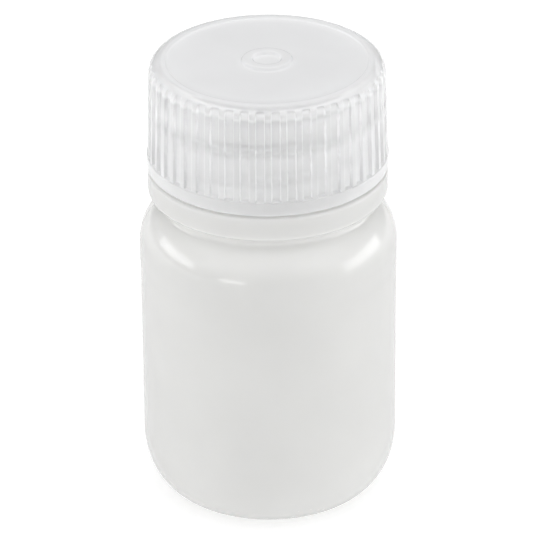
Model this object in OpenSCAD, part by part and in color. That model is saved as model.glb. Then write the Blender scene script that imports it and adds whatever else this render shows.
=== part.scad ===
// Wide-mouth reagent bottle of the 30 ml class: a blow-moulded bottle and its fluted screw closure.
// Millimetres, +Z up. The origin is the middle of the circle that the bottle stands on.

/* [Bottle] */
// Outer diameter of the label panel
body_d = 33.9; // [30:0.1:40]
// Outer diameter of the band between the label panel and the shoulder
band_d = 34; // [30:0.1:40]
// Wall of the blown body
body_wall = 1.1; // [0.8:0.1:1.4]
// Height over which the heel rounds up to the label panel
heel_h = 8; // [4:0.5:10]
// How far the heel rounds in from the panel, towards the foot ring
heel_inset = 5.2; // [3:0.1:6]
// Width of the flat foot ring that the bottle stands on
foot_w = 0.9; // [0.5:0.1:1.5]
// How high the middle of the base is pushed up
pushup_h = 1.5; // [0.5:0.1:2.5]
// Height of the label panel
panel_h = 24.6; // [15:0.1:60]
// Height of the soft step from the panel out to the band
step_h = 1.2; // [0.6:0.1:2]
// Height of the straight band under the shoulder
band_h = 1.9; // [1:0.1:5]
// Radius of the shoulder
shoulder_round = 7.2; // [5:0.1:9]
// Depth of the groove between shoulder and collar, in from the collar's edge
groove_depth = 1.75; // [1.4:0.05:2]
// Radius of the groove on the shoulder's side
groove_round = 1; // [0.5:0.1:1.5]
// Height of the groove's straight root
groove_h = 0.5; // [0.2:0.05:2]
// Radius of the groove on the collar's side
groove_top_round = 0.35; // [0.2:0.05:0.6]

/* [Collar and neck] */
// Outer diameter of the collar below the closure
collar_d = 31.5; // [31:0.1:33]
// Height of the collar
collar_h = 3.4; // [3:0.1:5]
// Radius of the collar's lower edge
collar_round = 0.8; // [0.4:0.1:1]
// Radius of the collar's upper edge
collar_top_round = 0.35; // [0.2:0.05:0.6]
// Slope of the collar's underside, from the horizontal
under_slope = 15; // [5:1:30]
// Outer diameter of the neck, at the root of its thread
neck_d = 25.4; // [24.6:0.1:25.6]
// Bore of the neck
mouth_d = 20.3; // [18:0.1:21.5]
// Height of the neck above the collar
neck_h = 14; // [13:0.1:16]
// Radius of the lip's two edges
lip_round = 0.4; // [0.2:0.1:0.6]

/* [Closure] */
// Outer diameter of the plain band round the closure's open end
rim_d = 31.6; // [31.2:0.1:34]
// Height of that band
rim_h = 2; // [1:0.1:3]
// Chamfer on both edges of the open end
rim_chamfer = 0.3; // [0.1:0.05:0.4]
// Outer diameter over the flutes, just above the band
skirt_d = 31.4; // [31:0.1:34]
// Outer diameter over the flutes, where the top edge begins to round
crown_d = 30.74; // [30.4:0.01:34]
// Radius of the closure's top edge
crown_round = 1.5; // [0.8:0.1:2.5]
// Inner diameter of the skirt, at the root of its thread
skirt_bore_d = 28.1; // [27.4:0.1:28.3]
// Thickness of the top plate
plate_t = 1.2; // [1:0.1:2]
// Diameter of the shallow panel sunk in the top plate
panel_d = 26.3; // [20:0.1:27]
// Depth of that panel
panel_sink = 0.12; // [0.05:0.01:0.3]
// Gap between the closure and the bottle's collar
rim_gap = 0.35; // [0.3:0.05:1]

/* [Flutes] */
// Number of grip flutes round the skirt
flute_count = 48; // [24:1:60]
// Width of a flute across its mouth
flute_w = 1.3; // [0.8:0.05:1.5]
// Depth of a flute
flute_depth = 0.5; // [0.3:0.05:0.55]
// Turn of the first flute from the front, -Y
flute_phase = -3.6; // [-7.5:0.1:7.5]

/* [Gate mark] */
// Outer diameter of the raised ring at the middle of the top plate, at its foot
gate_d = 6.8; // [5:0.1:9]
// Diameter of the well inside that ring, at its floor
gate_well_d = 3.4; // [2:0.1:4.5]
// Height of the ring
gate_h = 0.4; // [0.2:0.05:0.8]
// Width of each of the ring's flanks
gate_flank = 0.35; // [0.2:0.05:0.6]

/* [Plug seal] */
// Wall of the sealing ring that hangs from the top plate into the mouth
seal_wall = 0.9; // [0.6:0.05:1.5]
// Depth that the ring reaches into the mouth
seal_h = 2.2; // [1.5:0.1:4]
// Clearance between the ring and the mouth
seal_gap = 0.1; // [0.05:0.05:0.3]
// Length of the taper at the ring's lower edge
seal_taper_h = 0.9; // [0.3:0.1:1.2]
// How far that taper draws the edge in
seal_taper = 0.3; // [0.1:0.05:0.4]

/* [Hidden] */
$fn = 96;

// Length by which a cutter passes through the face that it opens
cut = 1;
// Steps along each rounded stretch of a profile
arc_steps = 8;
// Radius inside the collar and where the neck's bore opens into the body
pocket_round = 0.6;
// Radius between the closure's skirt and its top plate, inside
inner_round = 0.6;
// Height of the small step from the closure's band in to its skirt
rim_step = 0.15;

// Radii of the bottle
body_r = body_d / 2;
band_r = band_d / 2;
heel_r = body_r - heel_inset;
foot_r = heel_r - foot_w;
shoulder_r = band_r - shoulder_round;
collar_r = collar_d / 2;
groove_r = collar_r - groove_depth;
edge_r = collar_r - collar_round;
neck_r = neck_d / 2;
mouth_r = mouth_d / 2;

// Heights up the bottle, each worked out from the one below it. The shoulder turns until its
// arc meets the groove's arc.
panel_z = heel_h + panel_h;
band_z = panel_z + step_h;
shoulder_z = band_z + band_h;
shoulder_turn = acos((groove_r + groove_round - shoulder_r) / (shoulder_round + groove_round));
groove_z = shoulder_z + (shoulder_round + groove_round) * sin(shoulder_turn);
groove_top_z = groove_z + groove_h;
edge_z = groove_top_z + ((edge_r - groove_r - groove_top_round) * sin(under_slope)
    + collar_round + groove_top_round) / cos(under_slope);
collar_top_z = edge_z - collar_round + collar_h;
lip_z = collar_top_z + neck_h;

// Heights up the closure, which seats with its top plate on the bottle's lip
rim_z = collar_top_z + rim_gap;
skirt_z = rim_z + rim_h;
plate_z = lip_z;
top_z = plate_z + plate_t;
panel_top_z = top_z - panel_sink;
crown_z = top_z - crown_round;

// Radii of the closure
rim_r = rim_d / 2;
skirt_r = skirt_d / 2;
crown_r = crown_d / 2;
skirt_bore_r = skirt_bore_d / 2;
panel_r = panel_d / 2;
gate_r = gate_d / 2;
gate_well_r = gate_well_d / 2;
seal_r = mouth_r - seal_gap;

// A flute is cut by a round tool, laid along the skirt's draft
skirt_draft = atan2(skirt_r - crown_r, crown_z - skirt_z);
flute_r = (pow(flute_w / 2, 2) + pow(flute_depth, 2)) / (2 * flute_depth);
flute_pitch = 360 / flute_count;

// Points of an elliptical arc about (r, z), from one angle to another
function arc(r, z, rx, rz, from, to) =
    [for (i = [0 : arc_steps])
        let (a = from + (to - from) * i / arc_steps)
        [r + rx * cos(a), z + rz * sin(a)]];

function reverse(points) =
    [for (i = [len(points) - 1 : -1 : 0]) points[i]];

// The base's pushed-up dome, from the axis out to the foot ring, t above its underside
function dome_line(t) =
    [for (i = [0 : arc_steps])
        let (u = i / arc_steps)
        [foot_r * u, t + pushup_h * (1 - u * u)]];

// Base, heel, panel, band, shoulder and groove as one line, t inside the outer surface
function body_line(t) = concat(
    dome_line(t),
    arc(heel_r, heel_h, heel_inset - t, heel_h - t, -90, 0),
    [[body_r - t, panel_z], [band_r - t, band_z]],
    arc(shoulder_r, shoulder_z, shoulder_round - t, shoulder_round - t, 0, shoulder_turn),
    arc(groove_r + groove_round, groove_z, groove_round + t, groove_round + t,
        180 + shoulder_turn, 180),
    arc(groove_r + groove_top_round, groove_top_z, groove_top_round + t, groove_top_round + t,
        180, 90 + under_slope));

// Outside of the collar and the neck, up to the flat of the lip
function neck_outside() = concat(
    arc(edge_r, edge_z, collar_round, collar_round, under_slope - 90, 0),
    arc(collar_r - collar_top_round, collar_top_z - collar_top_round,
        collar_top_round, collar_top_round, 0, 90),
    [[neck_r, collar_top_z]],
    arc(neck_r - lip_round, lip_z - lip_round, lip_round, lip_round, 0, 90));

// Inside of the collar and the neck, which the blown wall follows up to the bore
function neck_inside() =
    let (
        t = body_wall,
        root = groove_top_round + t,
        root_r = groove_r + groove_top_round - root * sin(under_slope),
        root_z = groove_top_z + root * cos(under_slope),
        roof_z = collar_top_z - t
    )
    concat(
        [[collar_r - t, root_z + (collar_r - t - root_r) * tan(under_slope)]],
        arc(collar_r - t - pocket_round, roof_z - pocket_round,
            pocket_round, pocket_round, 0, 90),
        arc(mouth_r + pocket_round, roof_z + pocket_round,
            pocket_round, pocket_round, 270, 180),
        arc(mouth_r + lip_round, lip_z - lip_round, lip_round, lip_round, 180, 90));

// Blow-moulded bottle: one wall from the pushed-up base to the lip
module bottle() {
    color([0.93, 0.93, 0.91])
    rotate_extrude()
    polygon(concat(
        body_line(0),
        neck_outside(),
        reverse(neck_inside()),
        reverse(body_line(body_wall))));
}

// Ring under the closure's top plate that plugs the bottle's mouth
module plug_seal() {
    color([0.90, 0.92, 0.94])
    rotate_extrude()
    polygon([
        [seal_r - seal_wall, plate_z],
        [seal_r - seal_wall, plate_z - seal_h],
        [seal_r - seal_taper, plate_z - seal_h],
        [seal_r, plate_z - seal_h + seal_taper_h],
        [seal_r, plate_z]]);
}

// Raised ring round the moulding gate, as a half profile on the plate's panel
function gate_line() = [
    [gate_r, panel_top_z],
    [gate_r - gate_flank, panel_top_z + gate_h],
    [gate_well_r + gate_flank, panel_top_z + gate_h],
    [gate_well_r, panel_top_z],
    [0, panel_top_z]];

// The closure before its flutes are cut: band, drafted skirt, rounded crown and top plate
module closure_blank() {
    rotate_extrude()
    polygon(concat(
        [[0, plate_z]],
        arc(skirt_bore_r - inner_round, plate_z - inner_round, inner_round, inner_round, 90, 0),
        [[skirt_bore_r, rim_z + rim_chamfer],
         [skirt_bore_r + rim_chamfer, rim_z],
         [rim_r - rim_chamfer, rim_z],
         [rim_r, rim_z + rim_chamfer],
         [rim_r, skirt_z - rim_step],
         [skirt_r, skirt_z]],
        arc(crown_r - crown_round, crown_z, crown_round, crown_round, 0, 90),
        [[panel_r, top_z], [panel_r - panel_sink, panel_top_z]],
        gate_line()));
}

// One flute: a round groove that ends in a ledge on the band and runs out over the crown
module flute() {
    translate([skirt_r - flute_depth + flute_r, 0, skirt_z])
    rotate([0, -skirt_draft, 0])
    cylinder(r = flute_r, h = top_z - skirt_z + cut, $fn = 24);
}

module closure() {
    color([0.90, 0.92, 0.94])
    difference() {
        closure_blank();
        for (i = [0 : flute_count - 1])
            rotate([0, 0, flute_phase - 90 + i * flute_pitch])
            flute();
    }
}

bottle();
plug_seal();
closure();
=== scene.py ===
import math
import bmesh
import bpy
from mathutils import Matrix, Vector


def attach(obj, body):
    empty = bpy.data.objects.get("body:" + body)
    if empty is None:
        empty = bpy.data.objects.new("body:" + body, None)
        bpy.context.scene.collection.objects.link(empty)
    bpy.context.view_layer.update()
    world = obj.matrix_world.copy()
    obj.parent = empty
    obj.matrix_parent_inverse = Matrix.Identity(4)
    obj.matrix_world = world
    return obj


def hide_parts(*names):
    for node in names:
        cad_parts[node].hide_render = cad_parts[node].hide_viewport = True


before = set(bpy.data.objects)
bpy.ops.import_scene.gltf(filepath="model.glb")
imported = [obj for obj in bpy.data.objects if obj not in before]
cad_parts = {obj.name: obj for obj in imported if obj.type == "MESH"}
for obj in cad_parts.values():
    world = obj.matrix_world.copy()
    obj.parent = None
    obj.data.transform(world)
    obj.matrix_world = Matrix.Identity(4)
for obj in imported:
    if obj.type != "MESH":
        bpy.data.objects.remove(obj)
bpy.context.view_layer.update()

scene = bpy.context.scene

# ---------------------------------------------------------------- Camera
# A long lens on a tripod, a little over half a metre off and tipped down by just under 28 degrees.
# It leans by less than half a degree, so the bottle stands a hair off plumb.
camera_tip = math.radians(27.7645)
camera_lean = math.radians(0.4536)
camera_reach = 0.534491
camera_aim = Vector((0, 0, 0.031486))
lens = bpy.data.cameras.new("studio_camera")
lens.sensor_width = 36
lens.lens = 272.14
lens.shift_x = -0.00402
lens.clip_start = 0.05
lens.clip_end = 50
camera = bpy.data.objects.new("studio_camera", lens)
scene.collection.objects.link(camera)
to_camera = Vector((0, -math.cos(camera_tip), math.sin(camera_tip)))
camera.matrix_world = (Matrix.Translation(camera_aim + camera_reach * to_camera)
                       @ Matrix.Rotation(math.pi / 2 - camera_tip, 4, "X")
                       @ Matrix.Rotation(-camera_lean, 4, "Z"))
scene.camera = camera
scene.view_settings.view_transform = "Standard"
# Light crosses the clear closure and the milky walls many times over.
scene.cycles.max_bounces = 24
scene.cycles.diffuse_bounces = 10
scene.cycles.transmission_bounces = 24

# ---------------------------------------------------------------- Studio
# A white sweep under the bottle, a white ceiling that comes down in front in an arch, and a dark
# gap under it where the camera stands. Two soft boxes and a narrow strip throw the highlights.
ceiling_light, overhead_light, camera_gap_light = 1.38, 0.68, 0.36
back_wall_light, right_wall_light = 0.15, 0.15
arch_drop = 0.43
sweep_r, sweep_grey, sweep_glow = 3, 0.8, 0.32
lamp_reach, lamp_aim_z = 0.8, 0.035


def fade(web, value, low, high, to_low, to_high):
    """A value carried smoothly from one range to another."""
    node = web.nodes.new("ShaderNodeMapRange")
    node.interpolation_type = "SMOOTHSTEP"
    for socket, number in zip((1, 2, 3, 4), (low, high, to_low, to_high)):
        node.inputs[socket].default_value = number
    web.links.new(value, node.inputs[0])
    return node.outputs[0]


def work_out(web, kind, *values):
    """Math on two or three values, linked or plain."""
    node = web.nodes.new("ShaderNodeMath")
    node.operation = kind
    for socket, value in enumerate(values):
        if isinstance(value, (int, float)):
            node.inputs[socket].default_value = value
        else:
            web.links.new(value, node.inputs[socket])
    return node.outputs[0]


room = bpy.data.worlds.new("white_room")
room.use_nodes = True
scene.world = room
air = room.node_tree
air.nodes.clear()
looking = air.nodes.new("ShaderNodeTexCoord")
look = air.nodes.new("ShaderNodeSeparateXYZ")
air.links.new(looking.outputs["Generated"], look.inputs[0])

front = fade(air, look.outputs["Y"], -0.5, -0.3, 1, 0)
not_front = work_out(air, "SUBTRACT", 1, front)
back = fade(air, look.outputs["Y"], 0.3, 0.7, 0, 1)
sides = work_out(air, "SUBTRACT", not_front, back)
right = fade(air, look.outputs["X"], -0.1, 0.1, 0, 1)
across = work_out(air, "MULTIPLY", look.outputs["X"], look.outputs["X"])
arch = work_out(air, "ADD", look.outputs["Z"], work_out(air, "MULTIPLY", across, arch_drop))
high = work_out(air, "ADD",
                work_out(air, "MULTIPLY", front, fade(air, arch, 0.50, 0.74, 0, 1)),
                work_out(air, "MULTIPLY", not_front,
                         fade(air, look.outputs["Z"], 0.45, 0.75, 0, 1)))
low = work_out(air, "SUBTRACT", 1, high)
wall_light = 0
for share, brightness in (
        (high, ceiling_light),
        (fade(air, look.outputs["Z"], 0.80, 0.92, 0, 1), overhead_light),
        (work_out(air, "MULTIPLY", front, low), camera_gap_light),
        (work_out(air, "MULTIPLY", back, low), back_wall_light),
        (work_out(air, "MULTIPLY", work_out(air, "MULTIPLY", sides, low), right),
         right_wall_light)):
    wall_light = work_out(air, "ADD", work_out(air, "MULTIPLY", share, brightness), wall_light)

# What the camera sees behind the bottle is plain white; what lights it is the room.
lit = air.nodes.new("ShaderNodeBackground")
air.links.new(wall_light, lit.inputs["Strength"])
seen = air.nodes.new("ShaderNodeBackground")
seen.inputs["Strength"].default_value = 1
ray = air.nodes.new("ShaderNodeLightPath")
choose = air.nodes.new("ShaderNodeMixShader")
out = air.nodes.new("ShaderNodeOutputWorld")
air.links.new(ray.outputs["Is Camera Ray"], choose.inputs[0])
air.links.new(lit.outputs[0], choose.inputs[1])
air.links.new(seen.outputs[0], choose.inputs[2])
air.links.new(choose.outputs[0], out.inputs[0])

sweep_mesh = bmesh.new()
bmesh.ops.create_circle(sweep_mesh, cap_ends=True, segments=96, radius=sweep_r)
sweep_data = bpy.data.meshes.new("white_sweep")
sweep_mesh.to_mesh(sweep_data)
sweep_mesh.free()
sweep = bpy.data.objects.new("white_sweep", sweep_data)
scene.collection.objects.link(sweep)
sweep_paint = bpy.data.materials.new("sweep_card")
sweep_paint.use_nodes = True
card = sweep_paint.node_tree.nodes["Principled BSDF"]
card.inputs["Base Color"].default_value = (sweep_grey, sweep_grey, sweep_grey, 1)
card.inputs["Roughness"].default_value = 0.9
card.inputs["Specular IOR Level"].default_value = 0.1
card.inputs["Emission Color"].default_value = (1, 1, 1, 1)
card.inputs["Emission Strength"].default_value = sweep_glow
sweep_data.materials.append(sweep_paint)


def soft_box(name, turn, height, width, tall, power):
    """A rectangular lamp that faces the bottle. turn is from the front to the right, in degrees."""
    light = bpy.data.lights.new(name, "AREA")
    light.shape = "RECTANGLE"
    light.size = width
    light.size_y = tall
    light.energy = power
    box = bpy.data.objects.new(name, light)
    scene.collection.objects.link(box)
    a, e = math.radians(turn), math.radians(height)
    away = Vector((math.sin(a) * math.cos(e), -math.cos(a) * math.cos(e), math.sin(e)))
    box.matrix_world = (Matrix.Translation(away * lamp_reach + Vector((0, 0, lamp_aim_z)))
                        @ away.to_track_quat("Z", "Y").to_matrix().to_4x4())
    box.visible_camera = False


soft_box("left_soft_box", -91, 12, width=0.63, tall=0.18, power=1.15)
soft_box("right_soft_box", 92, 7, width=0.70, tall=0.24, power=1.75)
soft_box("strip_light", -31, 3, width=0.30, tall=0.03, power=0.35)

# ---------------------------------------------------------------- Bottle
# Blow-moulded in one piece from natural high-density polyethylene, milky and a little waxy. Its
# neck, lip and thread are formed in the same wall. Radii, heights and walls are in millimetres.
body_r, band_r, body_wall = 16.95, 17.0, 1.1
heel_h, heel_inset, foot_w, pushup_h = 8.0, 5.2, 0.9, 1.5
panel_z, band_z, shoulder_z = 32.6, 33.8, 35.7
step_lead, step_rise = 0.1, 0.005
shoulder_round, groove_round, groove_top_round = 7.2, 1.0, 0.35
collar_r, collar_round, collar_top_round, under_slope = 15.75, 0.8, 0.35, 15
groove_r, groove_z, groove_top_z = 14.0, 42.0403, 42.5403
edge_z, collar_top_z = 43.8917, 46.4917
neck_r, mouth_r, lip_z, lip_round = 12.7, 10.15, 60.4917, 0.4
root_fillet, root_fillet_middle, inner_round = 0.25, 0.07, 0.6
bottle_steps, neck_rows = 240, 110

heel_r = body_r - heel_inset
foot_r = heel_r - foot_w
shoulder_r = band_r - shoulder_round
shoulder_turn = math.degrees(math.acos((groove_r + groove_round - shoulder_r)
                                       / (shoulder_round + groove_round)))


def bend(r, z, rx, rz, start, end, steps=8):
    """Points of a bend in a section line, about (r, z)."""
    return [(r + rx * math.cos(math.radians(start + (end - start) * i / steps)),
             z + rz * math.sin(math.radians(start + (end - start) * i / steps)))
            for i in range(steps + 1)]


def run(a, b, count):
    """Even points from a up to b, without b."""
    return [(a[0] + (b[0] - a[0]) * i / count, a[1] + (b[1] - a[1]) * i / count)
            for i in range(count)]


def smooth(x):
    """Eases from 0 to 1 as x does."""
    x = min(max(x, 0), 1)
    return x * x * (3 - 2 * x)


def at_radius_and_height(corner, r, z):
    """Whether a corner lies at a radius and a height."""
    return (abs(math.hypot(corner.co.x, corner.co.y) * 1000 - r) < 0.01
            and abs(corner.co.z * 1000 - z) < 0.01)


def turn_sections(*sections):
    """Turns section lines round the axis and joins them into one closed wall.
    Each section is a line and its number of steps."""
    wall = bmesh.new()
    for line, steps in sections:
        points = [wall.verts.new((r / 1000, 0, z / 1000)) for r, z in line]
        edges = [wall.edges.new(pair) for pair in zip(points, points[1:])]
        bmesh.ops.spin(wall, geom=points + edges, cent=(0, 0, 0), axis=(0, 0, 1), dvec=(0, 0, 0),
                       angle=math.tau, steps=steps, use_merge=True, use_duplicate=False)
    bmesh.ops.remove_doubles(wall, verts=wall.verts, dist=2e-7)
    for (before, _), (after, _) in zip(sections, sections[1:]):
        rims = [edge for edge in wall.edges if edge.is_boundary
                and any(at_radius_and_height(edge.verts[0], *end)
                        for end in (before[-1], after[0]))]
        bmesh.ops.bridge_loops(wall, edges=rims)
    bmesh.ops.recalc_face_normals(wall, faces=wall.faces)
    return wall


def finish_piece(name, wall):
    """Makes the object of a shaped wall."""
    data = bpy.data.meshes.new(name)
    wall.to_mesh(data)
    wall.free()
    data.shade_smooth()
    piece = bpy.data.objects.new(name, data)
    scene.collection.objects.link(piece)
    return piece


def body_line(inset, rows):
    """The section line from the middle of the base up into the collar, set in by a wall or not."""
    dome = [(foot_r * i / 8, inset + pushup_h * (1 - (i / 8) ** 2)) for i in range(9)]
    return (dome
            + bend(heel_r, heel_h, heel_inset - inset, heel_h - inset, -90, 0, rows)
            + run((body_r - inset, heel_h + 1), (body_r - inset, panel_z - step_lead), rows)
            + [(body_r - inset, panel_z - step_lead),
               (body_r + step_rise - inset, panel_z + step_lead),
               (band_r - step_rise - inset, band_z - step_lead),
               (band_r - inset, band_z + step_lead)]
            + bend(shoulder_r, shoulder_z, shoulder_round - inset, shoulder_round - inset,
                   0, shoulder_turn, rows)
            + bend(groove_r + groove_round, groove_z, groove_round + inset, groove_round + inset,
                   180 + shoulder_turn, 180)[1:]
            + bend(groove_r + groove_top_round, groove_top_z,
                   groove_top_round + inset, groove_top_round + inset, 180, 90 + under_slope))


neck_outside = (
    bend(collar_r - collar_round, edge_z, collar_round, collar_round, under_slope - 90, 0)
    + bend(collar_r - collar_top_round, collar_top_z - collar_top_round,
           collar_top_round, collar_top_round, 0, 90, 5)
    + [(neck_r + root_fillet, collar_top_z),
       (neck_r + root_fillet_middle, collar_top_z + root_fillet_middle)]
    + run((neck_r, collar_top_z + root_fillet), (neck_r, lip_z - lip_round), neck_rows)
    + bend(neck_r - lip_round, lip_z - lip_round, lip_round, lip_round, 0, 90, 6))
# Inside, the wall follows the slope under the collar and turns in over it to the mouth.
under_round = groove_top_round + body_wall
under_r = groove_r + groove_top_round - under_round * math.sin(math.radians(under_slope))
under_z = groove_top_z + under_round * math.cos(math.radians(under_slope))
collar_inside_r = collar_r - body_wall
collar_under_z = collar_top_z - body_wall
neck_inside = (
    [(collar_inside_r, under_z + (collar_inside_r - under_r) * math.tan(math.radians(under_slope)))]
    + bend(collar_inside_r - inner_round, collar_under_z - inner_round,
           inner_round, inner_round, 0, 90, 6)
    + bend(mouth_r + inner_round, collar_under_z + inner_round,
           inner_round, inner_round, 270, 180, 6)
    + bend(mouth_r + lip_round, lip_z - lip_round, lip_round, lip_round, 180, 90, 6))
bottle_line = (body_line(0, 18) + neck_outside
               + list(reversed(neck_inside)) + list(reversed(body_line(body_wall, 12))))

# A screw ridge: the height of its middle at angle 0, where it starts and ends in degrees, half its
# width, how far it stands out, how wide each flank is, and over how many degrees it runs out.
thread_lead = 4.0
neck_thread = dict(middle=50.04, first=-135, last=765, half=1.4, crest=1.1, flank=0.8, run_out=35)


def ridge(angle, z, middle, first, last, half, crest, flank, run_out):
    """How far a screw ridge stands out at an angle and a height."""
    best = 0
    for turn in range(-2, 3):
        along = angle + 360 * turn
        if first <= along <= last:
            off = abs(z - middle - thread_lead * along / 360)
            rise = smooth((half - off) / flank)
            rise *= smooth((along - first) / run_out) * smooth((last - along) / run_out)
            best = max(best, rise)
    return best * crest


bottle_wall = turn_sections((bottle_line, bottle_steps))
for v in bottle_wall.verts:
    r, z = math.hypot(v.co.x, v.co.y) * 1000, v.co.z * 1000
    if abs(r - neck_r) < 0.01 and collar_top_z + 0.2 < z < lip_z - lip_round + 0.01:
        angle = math.degrees(math.atan2(v.co.y, v.co.x)) % 360
        out_by = ridge(angle, z, **neck_thread)
        v.co.x *= 1 + out_by / r
        v.co.y *= 1 + out_by / r
bottle_piece = finish_piece("blown_bottle", bottle_wall)

# The skin a mould leaves: slow drifts of tone, a fine grain, and hair scuffs from handling. Scales
# are in waves to the metre, and a scuff has its lie in radians and its size in metres.
skin_parts = ("Tone", "Grain", "Scuff")
scuff_lies = (((0.4, 0.9, 0.2), (0.0004, 0.0005, 0.012)),
              ((1.3, -0.6, 1.1), (0.0005, 0.0004, 0.009)))
skin = bpy.data.node_groups.new("moulded_skin", "ShaderNodeTree")
for socket in ("Drift Scale", "Grain Scale"):
    skin.interface.new_socket(socket, in_out="INPUT", socket_type="NodeSocketFloat")
for socket in skin_parts:
    skin.interface.new_socket(socket, in_out="OUTPUT", socket_type="NodeSocketFloat")
skin_in = skin.nodes.new("NodeGroupInput")
skin_out = skin.nodes.new("NodeGroupOutput")
skin_place = skin.nodes.new("ShaderNodeTexCoord")
drift = skin.nodes.new("ShaderNodeTexNoise")
drift.inputs["Detail"].default_value = 3
drift.inputs["Roughness"].default_value = 0.45
skin.links.new(skin_in.outputs["Drift Scale"], drift.inputs["Scale"])
skin.links.new(skin_place.outputs["Object"], drift.inputs["Vector"])
skin.links.new(drift.outputs["Fac"], skin_out.inputs["Tone"])
grain = skin.nodes.new("ShaderNodeTexNoise")
grain.inputs["Detail"].default_value = 2
skin.links.new(skin_in.outputs["Grain Scale"], grain.inputs["Scale"])
skin.links.new(skin_place.outputs["Object"], grain.inputs["Vector"])
skin.links.new(grain.outputs["Fac"], skin_out.inputs["Grain"])
scuffs = []
for lie, size in scuff_lies:
    laid = skin.nodes.new("ShaderNodeMapping")
    laid.vector_type = "TEXTURE"
    laid.inputs["Rotation"].default_value = lie
    laid.inputs["Scale"].default_value = size
    hair = skin.nodes.new("ShaderNodeTexNoise")
    hair.inputs["Scale"].default_value = 1
    hair.inputs["Detail"].default_value = 1
    skin.links.new(skin_place.outputs["Object"], laid.inputs["Vector"])
    skin.links.new(laid.outputs[0], hair.inputs["Vector"])
    scuffs.append(fade(skin, hair.outputs["Fac"], 0.69, 0.76, 0, 1))
skin.links.new(work_out(skin, "MAXIMUM", *scuffs), skin_out.inputs["Scuff"])


def put_skin(web, drift_scale, grain_scale):
    """Places the moulded skin in a material, and gives its tone, grain and scuffs."""
    node = web.nodes.new("ShaderNodeGroup")
    node.node_tree = skin
    node.inputs["Drift Scale"].default_value = drift_scale
    node.inputs["Grain Scale"].default_value = grain_scale
    return [node.outputs[part] for part in skin_parts]


def place_on_piece(web):
    """The place on the piece, in metres, with its X, Y and Z."""
    place = web.nodes.new("ShaderNodeTexCoord")
    split = web.nodes.new("ShaderNodeSeparateXYZ")
    web.links.new(place.outputs["Object"], split.inputs[0])
    return split.outputs


def tint(web, white, *shares):
    """A colour from a shade of white and the shares of it that go to red, green and blue."""
    colour = web.nodes.new("ShaderNodeCombineColor")
    for socket, share in zip(colour.inputs, shares):
        web.links.new(work_out(web, "MULTIPLY", white, share), socket)
    return colour.outputs[0]


def raise_skin(web, height, depth):
    """A bump of the given depth in metres."""
    node = web.nodes.new("ShaderNodeBump")
    node.inputs["Strength"].default_value = 1
    node.inputs["Distance"].default_value = depth
    web.links.new(height, node.inputs["Height"])
    return node.outputs[0]


def let_lamps_through(web, surface, share):
    """Ends a material. The hazy wall passes on a share of each lamp's light."""
    through = web.nodes.new("ShaderNodeBsdfTransparent")
    through.inputs["Color"].default_value = (share, share, share, 1)
    lamp = web.nodes.new("ShaderNodeLightPath")
    lit_through = web.nodes.new("ShaderNodeMixShader")
    web.links.new(lamp.outputs["Is Shadow Ray"], lit_through.inputs[0])
    web.links.new(surface, lit_through.inputs[1])
    web.links.new(through.outputs[0], lit_through.inputs[2])
    web.links.new(lit_through.outputs[0], web.nodes["Material Output"].inputs["Surface"])


wax_white_low, wax_drift, wax_shares = 0.728, 0.02, (1, 1, 0.987)
# The shoulder gets painted light, the edges get painted shade, and the heel band is made darker.
shoulder_painted_light, edge_painted_shade, heel_darkening = 0.085, 0.26, 0.35
wax_rough_low, wax_rough_high, scuff_rough, heel_rough = 0.155, 0.19, 0.05, 0.1
wax_grain_h, wax_tone_h, wax_scuff_h, parting_h = 0.3, 3.0, 0.06, 2.0
wax_bump_depth = 0.00002
wax_passes = 0.85
# Where marks and the shoulder's painted light start and end, in metres, and the span of the skin's
# tone from darkest to lightest.
heel_band_z, shoulder_light_low_z, shoulder_light_high_z = (0.0005, 0.006), (0.0366, 0.0396), (0.0420, 0.0426)
parting_half_w, parting_top_z = (0.00004, 0.00016), (0.041, 0.0425)
tone_span, heel_tone_span = (0.3, 0.7), (0.40, 0.62)
bottle_plastic = bpy.data.materials.new("natural_polyethylene")
bottle_plastic.use_nodes = True
web = bottle_plastic.node_tree
wax = web.nodes["Principled BSDF"]
wax.inputs["IOR"].default_value = 1.54
wax.inputs["Subsurface Weight"].default_value = 1
wax.inputs["Subsurface Radius"].default_value = (1, 1, 0.97)
wax.inputs["Subsurface Scale"].default_value = 0.0012
tone, grains, scuff = put_skin(web, drift_scale=85, grain_scale=1500)
spot = place_on_piece(web)
# Up to six millimetres above the floor, the heel is darker and rougher, in patches.
heel_band = work_out(web, "MULTIPLY", fade(web, spot["Z"], *heel_band_z, 1, 0),
                     fade(web, tone, *heel_tone_span, 0.25, 1))
wax_tone = work_out(web, "SUBTRACT", fade(web, tone, *tone_span, 0, 1),
                    work_out(web, "MULTIPLY", heel_band, heel_darkening))
# Painted light on the shoulder, for the light from above; its wall, stretched least in the mould,
# is also thicker and whiter.
shoulder = work_out(web, "MULTIPLY", fade(web, spot["Z"], *shoulder_light_low_z, 0, 1),
                    fade(web, spot["Z"], *shoulder_light_high_z, 1, 0))
wax_white = work_out(web, "ADD",
                     work_out(web, "MULTIPLY_ADD", wax_tone, wax_drift, wax_white_low),
                     work_out(web, "MULTIPLY", shoulder, shoulder_painted_light))
# Painted shade: where the wall is seen edge on, its colour is darkened against the light the edges
# catch.
edge_shade_weight = web.nodes.new("ShaderNodeLayerWeight")
edge_shade_weight.inputs["Blend"].default_value = 0.5
wax_white = work_out(web, "MULTIPLY_ADD", work_out(web, "POWER", edge_shade_weight.outputs["Facing"], 4),
                     -edge_painted_shade, wax_white)
web.links.new(tint(web, wax_white, *wax_shares), wax.inputs["Base Color"])
wax_rough = work_out(web, "ADD", fade(web, tone, *tone_span, wax_rough_low, wax_rough_high),
                     work_out(web, "ADD", work_out(web, "MULTIPLY", scuff, scuff_rough),
                              work_out(web, "MULTIPLY", heel_band, heel_rough)))
web.links.new(wax_rough, wax.inputs["Roughness"])
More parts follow.
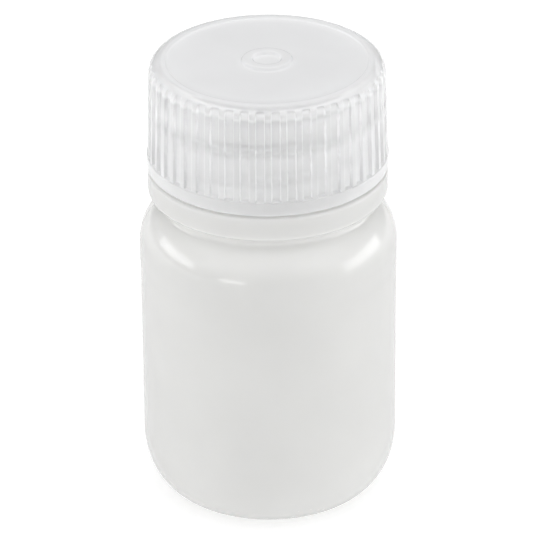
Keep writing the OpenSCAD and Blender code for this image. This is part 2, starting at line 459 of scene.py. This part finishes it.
# The mould parts in the plane of the two sides and leaves a fine line up the body.
from_middle = work_out(web, "ABSOLUTE", spot["Y"])
parting = work_out(web, "MULTIPLY", fade(web, from_middle, *parting_half_w, 1, 0),
                   fade(web, spot["Z"], *parting_top_z, 1, 0))
wax_height = work_out(web, "ADD", work_out(web, "MULTIPLY", grains, wax_grain_h),
                      work_out(web, "SUBTRACT", work_out(web, "MULTIPLY", tone, wax_tone_h),
                               work_out(web, "MULTIPLY", scuff, wax_scuff_h)))
wax_height = work_out(web, "ADD", wax_height, work_out(web, "MULTIPLY", parting, parting_h))
web.links.new(raise_skin(web, wax_height, wax_bump_depth), wax.inputs["Normal"])
let_lamps_through(web, wax.outputs[0], wax_passes)
bottle_piece.data.materials.append(bottle_plastic)
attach(bottle_piece, "bottle")
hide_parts("bottle")

# ---------------------------------------------------------------- Closure
# Injection-moulded in one piece from natural polypropylene, which is clearer than the bottle. Its
# plug seal and its thread are part of the moulding, and it screws down onto the neck.
rim_z, skirt_z, crown_z, plate_z, top_z = 46.8417, 48.8417, 60.1917, 60.4917, 61.6917
rim_r, skirt_r, crown_r, crown_round, bore_r = 15.8, 15.7, 15.37, 1.5, 14.05
panel_r, panel_sink = 13.15, 0.12
gate_r, gate_well_r, gate_h = 3.4, 1.7, 0.4
seal_r, seal_wall, seal_h, seal_taper, seal_taper_h = 10.05, 0.9, 2.2, 0.3, 0.9
flute_count, flute_w, flute_depth, flute_phase = 48, 1.3, 0.5, -3.6
closure_steps, skirt_steps, bore_rows = 320, 960, 100
panel_top = top_z - panel_sink
panel_edge_r = panel_r - panel_sink
ceiling_z = plate_z + 0.05
seal_end_z = plate_z - seal_h
closure_thread = dict(middle=neck_thread["middle"] + thread_lead / 2, first=-370, last=700,
                      half=0.72, crest=1.1, flank=0.45, run_out=30)
# Soft corners, as steps from the sharp corner: the gate ring's two flanks, and the rim's edge.
gate_inner_flank = ((-0.08, 0), (0.02, 0.04), (0.11, 0.19), (0.20, 0.32), (0.30, 0.385),
                    (0.44, gate_h))
gate_outer_flank = ((0.46, gate_h), (0.31, 0.385), (0.20, 0.32), (0.11, 0.19), (0.02, 0.04),
                    (-0.08, 0))
rim_edge = ((0, 0.33), (0.03, 0.26), (0.26, 0.03), (0.33, 0))

top_line = (
    [(0, panel_top), (gate_well_r * 0.5, panel_top)]
    + [(gate_well_r + across, panel_top + up) for across, up in gate_inner_flank]
    + [(gate_r - across, panel_top + up) for across, up in gate_outer_flank]
    + run((gate_r + 0.6, panel_top), (panel_edge_r - 0.1, panel_top), 8)
    + [(panel_edge_r - 0.1, panel_top), (panel_edge_r + 0.02, panel_top + 0.03),
       (panel_r - 0.03, top_z - 0.01), (panel_r + 0.08, top_z)])
skirt_line = (
    [(panel_r + 0.25, top_z)]
    + list(reversed(bend(crown_r - crown_round, crown_z, crown_round, crown_round, 0, 90, 16)))
    + run((crown_r + (skirt_r - crown_r) * 0.02, crown_z - 0.25), (skirt_r, skirt_z + 0.28), 7)
    + [(skirt_r, skirt_z + up) for up in (0.28, 0.18, 0.09, 0.01, 0)]
    + [(rim_r - 0.03, skirt_z - 0.04), (rim_r, skirt_z - 0.12), (rim_r, skirt_z - 0.3)]
    + [(rim_r - across, rim_z + up) for across, up in rim_edge])
inside_line = (
    [(bore_r + across, rim_z + up) for across, up in reversed(rim_edge[1:])]
    + run((bore_r, rim_z + rim_edge[0][1]), (bore_r, ceiling_z - inner_round), bore_rows)
    + bend(bore_r - inner_round, ceiling_z - inner_round, inner_round, inner_round, 0, 90, 6)
    + [(seal_r + 0.12, ceiling_z), (seal_r + 0.03, ceiling_z - 0.03), (seal_r, ceiling_z - 0.15)]
    + [(seal_r, seal_end_z + seal_taper_h), (seal_r - seal_taper, seal_end_z + 0.05),
       (seal_r - seal_taper - 0.05, seal_end_z)]
    + [(seal_r - seal_wall + 0.06, seal_end_z), (seal_r - seal_wall, seal_end_z + 0.06),
       (seal_r - seal_wall, ceiling_z - 0.15), (seal_r - seal_wall - 0.04, ceiling_z - 0.04),
       (seal_r - seal_wall - 0.15, ceiling_z)]
    + [(6, ceiling_z), (3, ceiling_z), (0, ceiling_z)])
closure_wall = turn_sections((top_line, closure_steps), (skirt_line, skirt_steps),
                             (inside_line, closure_steps))

# The skirt's columns are drawn together at the steep walls of each flute. A cut is a column's
# distance from the flute's middle, and the first one is the middle of the rib beside it.
flute_pitch = 360 / flute_count
flute_wall = math.tan(math.radians(72))
floor_corner, rib_corner, run_up_corner = 0.09, 0.07, 0.02
wall_cuts = [0.24, 0.40, 0.47, 0.51, 0.56, 0.61, 0.65, 0.70, 0.80]
flute_cuts = ([-math.pi * skirt_r / flute_count] + [-cut for cut in reversed(wall_cuts)]
              + [0] + wall_cuts)
skirt_draft = (skirt_r - crown_r) / (crown_z - skirt_z)


def soft_least(a, b, corner):
    """The lesser of two values, with the corner between them rounded."""
    return 0.5 * (a + b - math.hypot(a - b, corner))


def flute_cut(side):
    """Depth of a flute at a distance from its middle: a nearly flat floor between steep walls."""
    floor = flute_depth * (0.9 - 0.3 * side * side)
    deep = soft_least(floor, (flute_w / 2 - abs(side)) * flute_wall, floor_corner)
    return max(0.5 * (deep + math.hypot(deep, rib_corner)) - (rib_corner / 2) ** 2, 0)


for v in closure_wall.verts:
    r, z = math.hypot(v.co.x, v.co.y) * 1000, v.co.z * 1000
    if r < 0.01:
        continue
    angle = math.degrees(math.atan2(v.co.y, v.co.x)) % 360
    if abs(r - bore_r) < 0.005 and rim_z + 0.3 < z < ceiling_z - inner_round - 0.01:
        in_by = ridge(angle, z, **closure_thread)
        v.co.x *= 1 - in_by / r
        v.co.y *= 1 - in_by / r
    elif r > panel_r + 0.2 and z > skirt_z - 0.001:
        flute, cut = divmod(round(angle * skirt_steps / 360) % skirt_steps, len(flute_cuts))
        side = flute_cuts[cut] * r / skirt_r
        angle = (math.radians((flute + 1) * flute_pitch + flute_phase)
                 + flute_cuts[cut] / skirt_r)
        if z > skirt_z + 0.005 and abs(side) < 0.75:
            floor_r = (skirt_r - flute_cut(side) * smooth((z - skirt_z + 0.05) / 0.3)
                       - (z - skirt_z) * skirt_draft)
            r += min(soft_least(floor_r - r, 0, run_up_corner) + run_up_corner / 2, 0)
        v.co.x, v.co.y = r / 1000 * math.cos(angle), r / 1000 * math.sin(angle)
closure_piece = finish_piece("fluted_closure", closure_wall)

milk_white_low, milk_white_high, plate_gain = 0.925, 0.945, 0.03
milk_shares = (1, 1.002, 1.010)
milk_rough_low, milk_rough_high, closure_scuff_rough = 0.05, 0.09, 0.08
closure_grain_h, closure_tone_h, closure_scuff_h, closure_bump_depth = 0.12, 2.0, 0.1, 0.00001
glow_share, closure_passes = 0.2, 0.85
skirt_milk, plate_milk, clearest_loss, slant_milk, drift_milk = 0.50, 0.42, 0.17, 0.5, 0.12
leaving_loss = 0.75
# Where the cloudy plate ends, and the clearest stretch of the skirt, in metres.
plate_edge, clearest_low_z, clearest_high_z = (0.0132, 0.0147), (0.0545, 0.0565), (0.0598, 0.0604)
closure_plastic = bpy.data.materials.new("natural_polypropylene")
closure_plastic.use_nodes = True
web = closure_plastic.node_tree
clear = web.nodes["Principled BSDF"]
clear.inputs["Base Color"].default_value = (0.98, 0.982, 0.987, 1)
clear.inputs["Roughness"].default_value = 0.0
clear.inputs["IOR"].default_value = 1.49
clear.inputs["Transmission Weight"].default_value = 1
milk = web.nodes.new("ShaderNodeBsdfPrincipled")
milk.inputs["IOR"].default_value = 1.49
tone, grains, scuff = put_skin(web, drift_scale=120, grain_scale=1800)
spot = place_on_piece(web)
# The plate cools last and comes out cloudiest; the skirt and the crown are clearer.
flat = web.nodes.new("ShaderNodeCombineXYZ")
web.links.new(spot["X"], flat.inputs["X"])
web.links.new(spot["Y"], flat.inputs["Y"])
from_axis = web.nodes.new("ShaderNodeVectorMath")
from_axis.operation = "LENGTH"
web.links.new(flat.outputs[0], from_axis.inputs[0])
plate = fade(web, from_axis.outputs["Value"], *plate_edge, 1, 0)
milk_white = work_out(web, "ADD", fade(web, tone, *tone_span, milk_white_low, milk_white_high),
                      work_out(web, "MULTIPLY", plate, plate_gain))
milk_colour = tint(web, milk_white, *milk_shares)
web.links.new(milk_colour, milk.inputs["Base Color"])
# The ribs and the top are scuffed by fingers and by the shelf above.
milk_rough = work_out(web, "ADD", fade(web, tone, *tone_span, milk_rough_low, milk_rough_high),
                      work_out(web, "MULTIPLY", scuff, closure_scuff_rough))
web.links.new(milk_rough, milk.inputs["Roughness"])
closure_height = work_out(
    web, "ADD", work_out(web, "MULTIPLY", grains, closure_grain_h),
    work_out(web, "SUBTRACT", work_out(web, "MULTIPLY", tone, closure_tone_h),
             work_out(web, "MULTIPLY", scuff, closure_scuff_h)))
closure_bump = raise_skin(web, closure_height, closure_bump_depth)
web.links.new(closure_bump, milk.inputs["Normal"])
web.links.new(closure_bump, clear.inputs["Normal"])
glow = web.nodes.new("ShaderNodeBsdfTranslucent")
web.links.new(milk_colour, glow.inputs["Color"])
cloudy = web.nodes.new("ShaderNodeMixShader")
cloudy.inputs[0].default_value = glow_share
web.links.new(milk.outputs[0], cloudy.inputs[1])
web.links.new(glow.outputs[0], cloudy.inputs[2])
# The skirt is clearest under the crown, where the screw thread of the neck shows through it.
clearest = work_out(web, "MULTIPLY", fade(web, spot["Z"], *clearest_low_z, 0, 1),
                    fade(web, spot["Z"], *clearest_high_z, 1, 0))
thick = work_out(web, "MULTIPLY_ADD", clearest, -clearest_loss,
                 work_out(web, "MULTIPLY_ADD", plate, plate_milk, skirt_milk))
# A slanting look through the wall crosses more of it, and a look out of it meets less.
slant = web.nodes.new("ShaderNodeLayerWeight")
slant.inputs["Blend"].default_value = 0.5
longer = work_out(web, "MULTIPLY", work_out(web, "POWER", slant.outputs["Facing"], 2), slant_milk)
drifts = work_out(web, "MULTIPLY_ADD", tone, drift_milk, -drift_milk / 2)
side_seen = web.nodes.new("ShaderNodeNewGeometry")
leaving = work_out(web, "MULTIPLY_ADD", side_seen.outputs["Backfacing"], -leaving_loss, 1)
veil = work_out(web, "MULTIPLY",
                work_out(web, "ADD", work_out(web, "ADD", thick, longer), drifts), leaving)
veil.node.use_clamp = True
veiled = web.nodes.new("ShaderNodeMixShader")
web.links.new(veil, veiled.inputs[0])
web.links.new(clear.outputs[0], veiled.inputs[1])
web.links.new(cloudy.outputs[0], veiled.inputs[2])
let_lamps_through(web, veiled.outputs[0], closure_passes)
closure_piece.data.materials.append(closure_plastic)
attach(closure_piece, "closure")
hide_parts("closure", "plug_seal")
